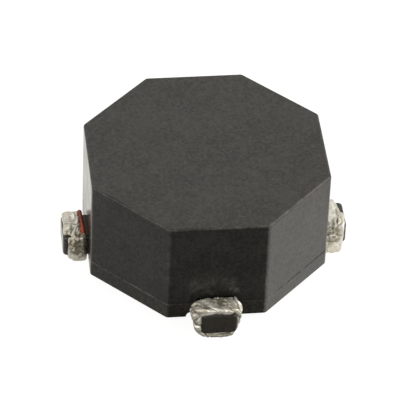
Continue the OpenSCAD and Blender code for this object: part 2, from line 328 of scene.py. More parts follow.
def makeMoulding(name, tint):
    m = moulding
    material, tree, shader, place = newMaterial(name)
    inMm = addNode(tree, "ShaderNodeVectorMath", {0: place, "Scale": 1 / mm}, operation="SCALE")
    straight, side, height, reach = mouldingPlaces(tree, inMm)
    bodyEnd = m["cornerReach"] + m["edgeMargin"] / 3
    onBody = addNode(tree, "ShaderNodeMath", {0: reach, 1: bodyEnd}, operation="LESS_THAN")
    mottle = addNode(tree, "ShaderNodeTexNoise", {
        "Vector": inMm, "Scale": 1 / m["mottleSize"], "Detail": 5, "Roughness": 0.65,
    })
    drawn = addNode(tree, "ShaderNodeMapping", {"Vector": inMm, "Scale": (1, 1, m["dragSqueeze"])})
    drag = addNode(tree, "ShaderNodeTexNoise", {"Vector": drawn, "Scale": 1 / m["dragWidth"], "Detail": 2})
    flecks = addNode(tree, "ShaderNodeTexNoise", {"Vector": inMm, "Scale": 1 / m["fleckSize"], "Detail": 2})

    tone = mouldedTone(tree, straight, mottle, drag, flecks)
    rubbedAndLit = edgeRubAndHighlight(tree, inMm, side, height, reach, onBody)
    smear, gap, dulled = jointMarks(tree, inMm, height, onBody)
    wornAndLit = addNode(tree, "ShaderNodeMath", {0: rubbedAndLit, 1: smear}, operation="MAXIMUM")
    pale = addNode(tree, "ShaderNodeMath", {0: wornAndLit, 1: fillerSpecks(tree, inMm)}, operation="MAXIMUM")
    lustre, scuffed = mouldedShine(tree, mottle, flecks, pale, dulled)

    base = addNode(tree, "ShaderNodeMix", {
        0: tone, colourA: linear(m["mottleColour"]), colourB: linear(tint),
    }, data_type="RGBA")
    # The unfilled gap at the joint is darkened with painted shade.
    shadow = addNode(tree, "ShaderNodeMath", {0: gap, 1: m["gapShade"]}, operation="MULTIPLY")
    darker = addNode(tree, "ShaderNodeMix", {
        0: shadow, colourA: base.outputs[colourOut], colourB: linear(m["gapShadeColour"]),
    }, data_type="RGBA")
    shade = addNode(tree, "ShaderNodeMath", {0: pale, 1: m["rubShade"]}, operation="MULTIPLY")
    # Mixes in the rub's pale, which is partly wear and partly a painted highlight.
    colour = addNode(tree, "ShaderNodeMix", {
        0: shade, colourA: darker.outputs[colourOut], colourB: linear(m["rubHighlightColour"]),
    }, data_type="RGBA")
    feed(tree, shader, {
        "Base Color": colour.outputs[colourOut], "Roughness": scuffed, "IOR": m["ior"],
        "Specular IOR Level": lustre, "Normal": mouldedGrain(tree, inMm, drag),
    })
    return material


for node, tint in {"cap": "2f2e2c", "header": "35322d"}.items():
    paint(node, makeMoulding("mouldedThermoset_" + node, tint))
print("moulding done")


# Pressed iron powder toroid under a thin epoxy coat: slate grey, slightly glossy, faintly pebbled.
coatedCore = {
    "colour": "54585e",
    "paleColour": "686c70",
    "pebble": 0.25,
    "pebbleDepth": 0.01,
    "pebbleStrength": 0.4,
    "roughness": 0.35,
}


def makeCoatedCore():
    material, tree, shader, place = newMaterial("coatedIronPowder")
    cloud = addNode(tree, "ShaderNodeTexNoise", {
        "Vector": place, "Scale": 1 / (coatedCore["pebble"] * mm), "Detail": 4,
    })
    coat = addNode(tree, "ShaderNodeMix", {
        0: cloud, colourA: linear(coatedCore["colour"]), colourB: linear(coatedCore["paleColour"]),
    }, data_type="RGBA")
    bump = addNode(tree, "ShaderNodeBump", {
        "Height": cloud, "Strength": coatedCore["pebbleStrength"],
        "Distance": coatedCore["pebbleDepth"] * mm,
    })
    feed(tree, shader, {
        "Base Color": coat.outputs[colourOut], "Roughness": coatedCore["roughness"], "Normal": bump,
    })
    return material


# Cured epoxy adhesive: amber-grey, glossy, with small bubbles.
epoxy = {
    "colour": "8d8470",
    "deepColour": "6e6450",
    "bubble": 0.3,
    "bubbleDepth": 0.02,
    "bubbleStrength": 0.3,
    "roughness": 0.25,
    "ior": 1.55,
}


def makeEpoxy():
    material, tree, shader, place = newMaterial("curedEpoxy")
    bubbles = addNode(tree, "ShaderNodeTexVoronoi", {
        "Vector": place, "Scale": 1 / (epoxy["bubble"] * mm),
    })
    resin = addNode(tree, "ShaderNodeMix", {
        0: bubbles, colourA: linear(epoxy["deepColour"]), colourB: linear(epoxy["colour"]),
    }, data_type="RGBA")
    bump = addNode(tree, "ShaderNodeBump", {
        "Height": bubbles, "Strength": epoxy["bubbleStrength"], "Distance": epoxy["bubbleDepth"] * mm,
    })
    feed(tree, shader, {
        "Base Color": resin.outputs[colourOut], "Roughness": epoxy["roughness"], "IOR": epoxy["ior"],
        "Normal": bump,
    })
    return material


# Enamelled copper: the polyurethane enamel is clear red-brown over bright drawn copper, so it glows
# orange where the light comes back through it and has a hard gloss on top.
enamel = {
    "colour": "b2431a",
    "deepColour": "80290c",
    "unevenness": 0.35,
    "metallic": 0.1,
    "roughness": 0.4,
    "coatWeight": 0.15,
    "coatRoughness": 0.12,
    "coatIor": 1.6,
}


def makeEnamel():
    material, tree, shader, place = newMaterial("enamelledCopper")
    tide = addNode(tree, "ShaderNodeTexNoise", {
        "Vector": place, "Scale": 1 / (enamel["unevenness"] * mm), "Detail": 3,
    })
    depth = addNode(tree, "ShaderNodeMapRange", {"Value": tide, "From Min": 0.4, "From Max": 0.65})
    varnish = addNode(tree, "ShaderNodeMix", {
        0: depth, colourA: linear(enamel["colour"]), colourB: linear(enamel["deepColour"]),
    }, data_type="RGBA")
    feed(tree, shader, {
        "Base Color": varnish.outputs[colourOut], "Metallic": enamel["metallic"],
        "Roughness": enamel["roughness"], "Coat Weight": enamel["coatWeight"],
        "Coat Roughness": enamel["coatRoughness"], "Coat IOR": enamel["coatIor"],
    })
    return material


# Tin-silver-copper solder, hand tinned: bright and wrinkled where it froze, duller and warmer on the
# oxidised patches, with brown flux left down in the folds.
solder = {
    "brightColour": "fcfaf3",
    "dullColour": "d3cdbb",
    "fluxColour": "5f533a",
    "fluxCover": 0.85,
    "patch": 0.4,
    "grit": 0.06,
    "gritDepth": 0.01,
    "gritStrength": 0.07,
    "metallic": 0.5,
    "roughness": (0.26, 0.46),
}


def makeSolder():
    material, tree, shader, place = newMaterial("tinnedSolder")
    patches = addNode(tree, "ShaderNodeTexNoise", {
        "Vector": place, "Scale": 1 / (solder["patch"] * mm), "Detail": 5, "Roughness": 0.65,
    })
    dull = addNode(tree, "ShaderNodeMapRange", {"Value": patches, "From Min": 0.4, "From Max": 0.62})
    tin = addNode(tree, "ShaderNodeMix", {
        0: dull, colourA: linear(solder["brightColour"]), colourB: linear(solder["dullColour"]),
    }, data_type="RGBA")
    fold = addNode(tree, "ShaderNodeAttribute", attribute_name="fold")
    flux = addNode(tree, "ShaderNodeMapRange", {
        "Value": fold.outputs["Fac"], "From Min": 0.1, "From Max": 1, "To Max": solder["fluxCover"],
    })
    stained = addNode(tree, "ShaderNodeMix", {
        0: flux, colourA: tin.outputs[colourOut], colourB: linear(solder["fluxColour"]),
    }, data_type="RGBA")
    gloss = addNode(tree, "ShaderNodeMapRange", {
        "Value": patches, "From Min": 0.38, "From Max": 0.62,
        "To Min": solder["roughness"][0], "To Max": solder["roughness"][1],
    })
    grit = addNode(tree, "ShaderNodeTexNoise", {
        "Vector": place, "Scale": 1 / (solder["grit"] * mm), "Detail": 3,
    })
    bump = addNode(tree, "ShaderNodeBump", {
        "Height": grit, "Strength": solder["gritStrength"], "Distance": solder["gritDepth"] * mm,
    })
    feed(tree, shader, {
        "Base Color": stained.outputs[colourOut], "Metallic": solder["metallic"], "Roughness": gloss,
        "Normal": bump,
    })
    return material


paint("toroid_core", makeCoatedCore())
adhesive = makeEpoxy()
for node in ("core_adhesive", "cap_adhesive"):
    paint(node, adhesive)
wireMaterial = makeEnamel()
solderMaterial = makeSolder()
print("materials done")


# What differs at each terminal: how many points of the lead's route the solder ran up, from which
# one the enamel shows, how thick the solder is on it, patches of solder as x range, y range, z range
# and bead, runs of it along points, ending in their bead, how the wire was pulled, and where flux
# was left and how far it spread.
hand = {
    "right": {
        "lead": 15, "bare": 14, "leadBead": 0.165, "seed": 19.4,
        "Turns": 1.7, "Plus Side": 0.82, "Minus Side": 1.1, "Low Pull": 1.0,
        "Stain": (6.05, -1.12, 1.15), "Stain Size": 0.85, "Stain Strength": 1.2,
        "Fill Height": 0.22, "Smoothing": 16,
        "patches": [
            ((5.86, 6.5), (-1.03, -1.03), (0.12, 1.4), 0.18),
            ((5.9, 6.5), (-1.06, -1.06), (0.14, 0.3), 0.15),
            ((5.95, 6.3), (-0.65, 0.4), (1.68, 1.68), 0.16),
        ],
        "runs": [
            ((6.4, 0.55, 1.68), (6.48, 0.1, 1.71), (6.68, -0.7, 1.69), 0.15),
            ((5.76, -1.19, 0.7), (5.76, -1.19, 0.5), 0.17),
            ((5.8, -1.0, 1.5), (5.79, -1.06, 1.1), (5.77, -1.12, 0.8), (5.76, -1.17, 0.6), 0.15),
            ((6.02, -0.96, 1.58), (6.04, -1.05, 1.2), 0.13),
        ],
    },
    "rear": {
        "lead": 9, "bare": 8, "leadBead": 0.16, "seed": 7.7,
        "Stain": (6.2, -0.4, 1.9), "Stain Size": 0.6,
        "patches": [((5.9, 6.4), (0.97, 0.97), (0.15, 1.2), 0.15)],
        "runs": [],
    },
    "left": {
        "lead": 7, "bare": 6, "leadBead": 0.165, "seed": 47.1,
        "Turns": 1.86, "Turn Pitch": 0.41, "Plus Side": 0.97, "Minus Side": 0.86, "Low Pull": 0.86,
        # The left terminal's stain reaches in to the body, where it is flux and also painted shadow between
        # the wrap and the body.
        "Stain": (6.0, 1.1, 1.2), "Stain Size": 0.82, "Stain Strength": 2.8,
        "Fold Depth": 0.04, "Swell": 0.016, "Fill Height": 0.22, "Smoothing": 22,
        "patches": [
            ((5.88, 6.34), (0.96, 0.96), (0.3, 1.45), 0.16),
            ((6.0, 6.2), (0.4, 0.8), (1.6, 1.6), 0.15),
            ((6.2, 6.7), (-0.7, 0.6), (1.695, 1.695), 0.14),
        ],
        "runs": [((6.57, 0.94, 1.55), (6.59, 0.98, 1.0), (6.57, 0.96, 0.3), 0.1)],
    },
    "front": {
        "lead": 0, "bare": 16, "leadBead": 0.155, "seed": 52.3,
        "Turn Pitch": 0.405, "Plus Side": 1.0, "Minus Side": 1.13, "Low Pull": 0.84,
        # At the front the flux under the post is darker, and is partly painted shade.
        "Stain": (6.15, 0.1, 1.9), "Stain Size": 0.75, "Stain Strength": 1.1, "Foot Flux And Shade": 0.8,
        "Fold Depth": 0.085, "Fold Size": 0.55, "Fold Stain": 1.0, "Fill Height": 0.22, "Smoothing": 16,
        "patches": [
            ((5.88, 6.3), (-0.98, -0.98), (0.6, 1.3), 0.15),
            ((5.95, 6.2), (-0.6, 0.8), (1.66, 1.66), 0.15),
        ],
        "runs": [
            ((6.7, -0.75, 1.68), (6.72, -0.95, 1.4), (6.72, -0.93, 0.9), (6.7, -0.86, 0.5), 0.14),
            ((6.78, 0.10, 0.13), (6.84, 0.16, 0.05), 0.06),
            ((6.02, -0.9, 1.6), (5.98, -1.01, 1.3), (5.96, -1.01, 0.8), (5.86, -1.08, 0.66), 0.14),
            ((5.86, -1.08, 0.66), (5.73, -1.15, 0.58), 0.11),
            ((6.7, -0.8, 1.56), (6.72, 0, 1.6), (6.7, 0.8, 1.56), 0.14),
            (
                (6.6, -0.85, 0.3), (6.68, -0.7, 0.14), (6.71, -0.4, 0.1),
                (6.71, 0.4, 0.1), (6.68, 0.65, 0.14), (6.6, 0.8, 0.3), 0.1,
            ),
        ],
    },
}


# The two windings, in millimetres, on the same routes as their solids.
winding = {
    "wireRadius": 0.125, "sides": 12, "spacing": 0.09, "turns": 20, "pitch": 16.5, "start": 240,
    "turnOut": 4.375, "turnIn": 1.975, "turnLow": 1.255, "turnHigh": 5.005, "bend": 0.575,
    "lowLead": 1.2, "highLead": 1.9, "leadRadius": 4.75, "holeAngle": 14.51, "holeX": 4.5985,
    "grooveY": 1.19, "grooveZ": 0.56, "sideY": 1.01, "postMid": 0.955,
    "bendY": 0.655, "bendZ": 1.36, "postBend": 0.355, "bendStep": 22.5,
    "wrapIn": 6.13, "neckRight": 5.92, "neckLeft": 5.98, "bodyFace": 5.7,
    # Added to where a post faces, so that a winding runs on past a full circle.
    "ahead": {"front": 0, "left": 360, "right": 360, "rear": 360},
}


# From the butt of the lead on the wrap, over the post and in through the groove to the hole.
def terminalLead(height, post):
    w = winding
    inner, slope = w["neckLeft"], (w["sideY"] + w["grooveY"]) / 2
    points = [
        (w["wrapIn"], w["sideY"], w["postMid"]),
        (w["wrapIn"] - 0.07, w["sideY"], w["postMid"]),
        (w["neckRight"] + 0.03, w["sideY"], w["postMid"] + 0.12),
    ]
    for reach, side, begin in ((w["neckRight"], 1, 0), (inner, -1, 90)):
        for step in range(5):
            angle = math.radians(begin + step * w["bendStep"])
            y = side * w["bendY"] + w["postBend"] * math.cos(angle)
            points.append((reach, y, w["bendZ"] + w["postBend"] * math.sin(angle)))
    points += [
        (inner - 0.02, -w["sideY"], w["postMid"] - 0.15),
        (inner - 0.1, -slope, w["grooveZ"] + 0.06),
        (w["bodyFace"], -w["grooveY"], w["grooveZ"]),
        (w["holeX"] + 0.14, -w["grooveY"], w["grooveZ"]),
        (w["holeX"], -w["grooveY"], w["grooveZ"] + 0.14),
        (w["holeX"], -w["grooveY"], height - 0.14),
    ]
    return [Matrix.Rotation(math.radians(post), 3, "Z") @ Vector(p) for p in points]


def polar(radius, angle, z):
    return Vector((radius * math.cos(math.radians(angle)), radius * math.sin(math.radians(angle)), z))


def leadRun(begin, end, height, count):
    step = (end - begin) / count
    return [polar(winding["leadRadius"], begin + step * i, height) for i in range(count + 1)]


# Up the outside of the toroid, in over the top, down the bore and out below; the last bend is left
# half-way.
def turnPoints(start):
    w, points = winding, []
    for turn in range(w["turns"]):
        for bend in range(4):
            outer, upper = bend in (0, 3), bend < 2
            radius = w["turnOut"] - w["bend"] if outer else w["turnIn"] + w["bend"]
            z = w["turnHigh"] - w["bend"] if upper else w["turnLow"] + w["bend"]
            for part in (0, 45, 90):
                way = math.radians(90 * bend + part)
                angle = start + w["pitch"] * (turn + (3 * bend + part / 45) / 12)
                bent = radius + w["bend"] * math.cos(way)
                points.append(polar(bent, angle, z + w["bend"] * math.sin(way)))
    return points[:-1]


# From where the solder at one terminal ends to where it begins at the other; the points between are
# given one by one.
def windingRoute(start, first, last, height, firstCount, lastCount):
    w = winding
    firstPost, lastPost = facing[first] + w["ahead"][first], facing[last] + w["ahead"][last]
    firstBare, lastBare = hand[first]["bare"], hand[last]["bare"]
    end = start + w["pitch"] * (w["turns"] - 1 / 6)
    return [
        *terminalLead(height, firstPost)[firstBare:],
        *leadRun(firstPost - w["holeAngle"] - 2, start + 7, height, firstCount),
        polar(w["turnOut"] + 0.03, start + 1, height + 0.25),
        *turnPoints(start),
        polar(w["turnOut"] + 0.12, end - 2, (height + w["turnLow"] + w["bend"] / 2) / 2),
        *leadRun(end - 8, lastPost - w["holeAngle"] + 2, height, lastCount),
        *reversed(terminalLead(height, lastPost)[lastBare:]),
    ]


def makeWireTree():
    tree, given = newTree("sweptWire", {
        "Wire Radius": "Float", "Sides": "Int", "Spacing": "Float", "Material": "Material",
    })
    path = addNode(tree, "GeometryNodeMeshToCurve", {0: given["Geometry"]})
    eased = addNode(tree, "GeometryNodeCurveSplineType", {0: path}, spline_type="CATMULL_ROM")
    even = addNode(tree, "GeometryNodeResampleCurve", {
        0: eased, "Length": given["Spacing"],
    }, mode="LENGTH")
    section = addNode(tree, "GeometryNodeCurvePrimitiveCircle", {
        "Resolution": given["Sides"], "Radius": given["Wire Radius"],
    })
    swept = addNode(tree, "GeometryNodeCurveToMesh", {0: even, 1: section, "Fill Caps": True})
    endTree(tree, swept, 0, given["Material"])
    return tree


# The second winding lies half a pitch further round than the first, and its leads above the first's.
halfPitch = winding["pitch"] / 2
routes = {
    "winding_a": windingRoute(winding["start"], "front", "left", winding["lowLead"], 1, 4),
    "winding_b": windingRoute(winding["start"] + halfPitch, "right", "rear", winding["highLead"], 9, 14),
}
wireTree = makeWireTree()
for node, route in routes.items():
    start = bpy.data.meshes.new(node)
    start.from_pydata([tuple(p) for p in route], [(i, i + 1) for i in range(len(route) - 1)], [])
    values = {
        "Wire Radius": winding["wireRadius"], "Sides": winding["sides"], "Spacing": winding["spacing"],
        "Material": wireMaterial,
    }
    piece = growPiece("enamelledWire_" + node[-1], start, wireTree, values)
    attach(piece, "root")
    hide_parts(node)
print("windings done")


# The tinned turns on a post, flooded with solder. Millimetres, drawn at the right-hand terminal: x
# outward, y along the side of the body, z up. The wire comes over the post from the body, goes down
# the +y side and on round it.
terminal = {
    "Post Width": 1.75, "Post Height": 1.25, "Post Centre": 0.955, "Corner Radius": 0.22,
    "Turns": 1.9, "First Turn": 6.03, "Turn Pitch": 0.385, "Start": 0.94, "Tightness": 0.7,
    "Plus Side": 0.95, "Minus Side": 1, "Low Pull": 0.9, "Low Size": 0.9,
    "Fill Height": 0.19, "Smoothing": 10, "Wander": 0.035, "Voxel Size": 0.025,
    "Swell": 0.022, "Fold Depth": 0.042, "Fold Size": 0.5,
    "Stain": (0, 0, 0), "Stain Size": 0.5, "Stain Strength": 1, "Fold Stain": 0.5, "Foot Flux And Shade": 0.1,
}
# What is the same at every terminal. Heights on the post are from its middle, and a scale is how
# many waves of a noise there are in a millimetre.
skin = {
    "beadCount": 700,  # in a string of beads
    "turnHeight": 0.2,  # of the beads' centres above the post's face
    "turnBead": 0.15,
    "fillBead": 0.145,  # of the solder that fills the gaps between the turns
    "fillShift": -0.19,  # half a turn nearer to the body
    "beadSpread": 0.1,
    "pullFrom": (0.3, -0.6),  # where the lower part begins to be pulled in and where it is fully
    "thinFrom": (0.2, -0.7),
    "swayScale": 1.3,
    "swayReach": 4,
    "lumpScale": 1.7,
    "foldTurn": 0.6,  # radians
    "foldStretch": (1.5, 0.7, 0.8),
    "calmScale": 0.8,
    "crinkleScale": 4.2,
    "crinkleDepth": 0.02,
    "hollowReach": 14,  # rounds of blurring that give the skin around a point
    "hollowDepth": (0.002, 0.014),
    "hollowFlux": 0.8,
    "patchFlux": (0.15, 0.8),
    # Under the post the flux colour also stands for painted shade.
    "footTop": (0.3, 0.14),  # above the board, where the flux under the post fades out
    "bodySide": 5.705,
    "postEnd": 6.88,
    "farAway": 9,
}


# Where the beads of a string lie as they go round the post: how far out along it, and where on its
# outline.
def wrapPost(tree, given, standoff, shift):
    s = skin
    above = addNode(tree, "ShaderNodeMath", {0: given["Tightness"], 1: standoff}, operation="MULTIPLY")
    sides = []
    for side in ("Post Width", "Post Height"):
        grown = {0: above, 1: 2, 2: given[side]}
        sides.append(addNode(tree, "ShaderNodeMath", grown, operation="MULTIPLY_ADD"))
    outline = addNode(tree, "GeometryNodeCurvePrimitiveQuadrilateral", {
        "Width": sides[0], "Height": sides[1],
    })
    bend = addNode(tree, "ShaderNodeMath", {0: given["Corner Radius"], 1: above}, operation="ADD")
    rounded = addNode(tree, "GeometryNodeFilletCurve", {
        "Curve": outline, "Count": 8, "Radius": bend,
    }, mode="POLY")
    index = addNode(tree, "GeometryNodeInputIndex")
    along = addNode(tree, "ShaderNodeMath", {0: index, 1: s["beadCount"] - 1}, operation="DIVIDE")
    gone = addNode(tree, "ShaderNodeMath", {0: along, 1: given["Turns"]}, operation="MULTIPLY")
    back = addNode(tree, "ShaderNodeMath", {0: given["Start"], 1: gone}, operation="SUBTRACT")
    share = addNode(tree, "ShaderNodeMath", {0: back}, operation="FRACT")
    onPost = addNode(tree, "GeometryNodeSampleCurve", {
        "Curves": rounded, "Factor": share,
    }, use_all_curves=True)
    stepped = addNode(tree, "ShaderNodeMath", {
        0: gone, 1: given["Turn Pitch"], 2: given["First Turn"],
    }, operation="MULTIPLY_ADD")
    outward = addNode(tree, "ShaderNodeMath", {0: stepped, 1: shift}, operation="ADD")
    return outward, addNode(tree, "ShaderNodeSeparateXYZ", {0: onPost.outputs["Position"]}).outputs


# The wire was pulled tighter on one side of the post than on the other, and it sways a little.
def pullWire(tree, given, outward, flat):
    s = skin
    onPlus = addNode(tree, "ShaderNodeMath", {0: flat[0], 1: 0}, operation="GREATER_THAN")
    pull = addNode(tree, "ShaderNodeMix", {
        "Factor": onPlus, "A": given["Minus Side"], "B": given["Plus Side"],
    })
    lower = addNode(tree, "ShaderNodeMapRange", {
        "Value": flat[1], "From Min": s["pullFrom"][0], "From Max": s["pullFrom"][1],
        "To Min": 1, "To Max": given["Low Pull"],
    })
    pulled = addNode(tree, "ShaderNodeMath", {0: pull, 1: lower}, operation="MULTIPLY")
    across = addNode(tree, "ShaderNodeMath", {0: flat[0], 1: pulled}, operation="MULTIPLY")
    height = addNode(tree, "ShaderNodeMath", {0: flat[1], 1: given["Post Centre"]}, operation="ADD")
    place = addNode(tree, "ShaderNodeCombineXYZ", {0: outward, 1: across, 2: height})
    sway = addNode(tree, "ShaderNodeTexNoise", {
        "Vector": place, "W": given["Seed"], "Scale": s["swayScale"], "Detail": 0,
    }, noise_dimensions="4D")
    centred = addNode(tree, "ShaderNodeVectorMath", {
        0: sway.outputs["Color"], 1: (0.5, 0.5, 0.5),
    }, operation="SUBTRACT")
    swing = addNode(tree, "ShaderNodeMath", {0: given["Wander"], 1: s["swayReach"]}, operation="MULTIPLY")
    moved = addNode(tree, "ShaderNodeVectorMath", {0: centred, "Scale": swing}, operation="SCALE")
    return addNode(tree, "ShaderNodeVectorMath", {0: place, 1: moved}, operation="ADD")


# A string of beads round the post, lumpy and thinner towards the board.
def stringBeads(tree, given, standoff, radius, shift):
    s = skin
    outward, flat = wrapPost(tree, given, standoff, shift)
    string = addNode(tree, "GeometryNodeMeshLine", {"Count": s["beadCount"]})
    swayed = pullWire(tree, given, outward, flat)
    strung = addNode(tree, "GeometryNodeSetPosition", {"Geometry": string, "Position": swayed})
    lumps = addNode(tree, "ShaderNodeTexNoise", {
        "W": given["Seed"], "Scale": s["lumpScale"], "Detail": 1,
    }, noise_dimensions="4D")
    thick = addNode(tree, "ShaderNodeMapRange", {
        "Value": lumps, "From Min": 0.35, "From Max": 0.65,
        "To Min": radius * (1 - s["beadSpread"]), "To Max": radius * (1 + s["beadSpread"]),
    })
    thin = addNode(tree, "ShaderNodeMapRange", {
        "Value": flat[1], "From Min": s["thinFrom"][0], "From Max": s["thinFrom"][1],
        "To Min": 1, "To Max": given["Low Size"],
    })
    sized = addNode(tree, "ShaderNodeMath", {0: thick, 1: thin}, operation="MULTIPLY")
    return addNode(tree, "GeometryNodeMeshToPoints", {"Mesh": strung, "Radius": sized})


# The beads melted into one skin and relaxed.
def meltBeads(tree, given, clouds, here):
    joined = addNode(tree, "GeometryNodeJoinGeometry")
    for cloud in reversed(clouds):
        tree.links.new(cloud.outputs[0], joined.inputs[0])
    size = addNode(tree, "GeometryNodeInputRadius")
    molten = addNode(tree, "GeometryNodePointsToVolume", {
        "Points": joined, "Voxel Size": given["Voxel Size"], "Radius": size,
    }, resolution_mode="VOXEL_SIZE")
    shell = addNode(tree, "GeometryNodeVolumeToMesh", {"Volume": molten, "Threshold": 0.1})
    relaxed = addNode(tree, "GeometryNodeBlurAttribute", {
        "Value": here, "Iterations": given["Smoothing"],
    }, data_type="FLOAT_VECTOR")
    return addNode(tree, "GeometryNodeSetPosition", {"Geometry": shell, "Position": relaxed})


# The skin wrinkled as it froze: soft rounded folds that run aslant over the turns, with calm pools
# between them. There is a crease where the noise crosses its middle.
def skinFolds(tree, given, here):
    s = skin
    foldScale = addNode(tree, "ShaderNodeMath", {0: 1, 1: given["Fold Size"]}, operation="DIVIDE")
    slanted = addNode(tree, "ShaderNodeVectorRotate", {
        "Vector": here, "Axis": (0, 0, 1), "Angle": s["foldTurn"],
    })
    stretched = addNode(tree, "ShaderNodeVectorMath", {
        0: slanted, 1: s["foldStretch"],
    }, operation="MULTIPLY")
    wrinkle = addNode(tree, "ShaderNodeTexNoise", {
        "Vector": stretched, "W": given["Seed"], "Scale": foldScale,
        "Detail": 0.6, "Roughness": 0.4, "Distortion": 0.7,
    }, noise_dimensions="4D")
    wave = addNode(tree, "ShaderNodeMath", {0: wrinkle, 1: 2, 2: -1}, operation="MULTIPLY_ADD")
    away = addNode(tree, "ShaderNodeMath", {0: wave}, operation="ABSOLUTE")
    calm = addNode(tree, "ShaderNodeTexNoise", {
        "W": given["Seed"], "Scale": s["calmScale"], "Detail": 1,
    }, noise_dimensions="4D")
    rough = addNode(tree, "ShaderNodeMapRange", {
        "Value": calm, "From Min": 0.4, "From Max": 0.6, "To Min": 0.35, "To Max": 1,
    })
    return wave, away, rough


# Flux was left on one patch, and the skin is finely crinkled there.
def skinPatch(tree, given, here):
    apart = addNode(tree, "ShaderNodeVectorMath", {
        0: here, 1: given["Stain"],
    }, operation="DISTANCE").outputs["Value"]
    spread = addNode(tree, "ShaderNodeMath", {0: apart, 1: given["Stain Size"]}, operation="DIVIDE")
    patch = addNode(tree, "ShaderNodeMapRange", {"Value": spread, "From Min": 1, "From Max": 0.45})
    crinkle = addNode(tree, "ShaderNodeTexNoise", {
        "W": given["Seed"], "Scale": skin["crinkleScale"], "Detail": 1, "Distortion": 0.8,
    }, noise_dimensions="4D")
    return patch, crinkle


# How far the skin rises or sinks at a point.
def skinRise(tree, given, wave, away, rough, patch, crinkle):
    s = skin
    crease = addNode(tree, "ShaderNodeMapRange", {
        "Value": away, "From Min": 0, "From Max": 0.3, "To Min": 1, "To Max": 0,
    }, interpolation_type="SMOOTHSTEP")
    crinkled = addNode(tree, "ShaderNodeMapRange", {
        "Value": crinkle, "From Min": 0.3, "From Max": 0.7,
        "To Min": -s["crinkleDepth"], "To Max": s["crinkleDepth"],
    })
    ruck = addNode(tree, "ShaderNodeMath", {0: crinkled, 1: patch}, operation="MULTIPLY")
    fold = addNode(tree, "ShaderNodeMath", {0: crease, 1: rough}, operation="MULTIPLY")
    sunk = addNode(tree, "ShaderNodeMath", {0: fold, 1: given["Fold Depth"]}, operation="MULTIPLY")
    raised = addNode(tree, "ShaderNodeMath", {0: wave, 1: given["Swell"]}, operation="MULTIPLY")
    folded = addNode(tree, "ShaderNodeMath", {0: raised, 1: sunk}, operation="SUBTRACT")
    return addNode(tree, "ShaderNodeMath", {0: folded, 1: ruck}, operation="ADD")


# How much flux lies at a point: where it lies below the skin around it, in the folds, under the post
# and on the patch. Under the post, near the board, it is also painted shade.
def skinFlux(tree, given, here, normal, away, rough, patch, crinkle):
    s = skin
    around = addNode(tree, "GeometryNodeBlurAttribute", {
        "Value": here, "Iterations": s["hollowReach"],
    }, data_type="FLOAT_VECTOR")
    inward = addNode(tree, "ShaderNodeVectorMath", {0: around, 1: here}, operation="SUBTRACT")
    sag = addNode(tree, "ShaderNodeVectorMath", {
        0: inward, 1: normal,
    }, operation="DOT_PRODUCT").outputs["Value"]
    hollow = addNode(tree, "ShaderNodeMapRange", {
        "Value": sag, "From Min": s["hollowDepth"][0], "From Max": s["hollowDepth"][1],
        "To Min": 0, "To Max": s["hollowFlux"],
    })
    streak = addNode(tree, "ShaderNodeMapRange", {
        "Value": away, "From Min": 0.2, "From Max": 0.04, "To Min": 0, "To Max": given["Fold Stain"],
    })
    streaked = addNode(tree, "ShaderNodeMath", {0: streak, 1: rough}, operation="MULTIPLY")
    pooled = addNode(tree, "ShaderNodeMath", {0: hollow, 1: streaked}, operation="MAXIMUM")
    level = addNode(tree, "ShaderNodeSeparateXYZ", {0: here}).outputs
    underneath = addNode(tree, "ShaderNodeMapRange", {
        "Value": level[2], "From Min": s["footTop"][0], "From Max": s["footTop"][1],
        "To Min": 0, "To Max": given["Foot Flux And Shade"],
    })
    lying = addNode(tree, "ShaderNodeMath", {0: pooled, 1: underneath}, operation="MAXIMUM")
    film = addNode(tree, "ShaderNodeMapRange", {
        "Value": crinkle, "From Min": 0.6, "From Max": 0.42,
        "To Min": s["patchFlux"][0], "To Max": s["patchFlux"][1],
    })
    soaked = addNode(tree, "ShaderNodeMath", {0: film, 1: given["Stain Strength"]}, operation="MULTIPLY")
    stained = addNode(tree, "ShaderNodeMath", {0: soaked, 1: patch}, operation="MULTIPLY")
    return addNode(tree, "ShaderNodeMath", {0: lying, 1: stained}, operation="MAXIMUM")


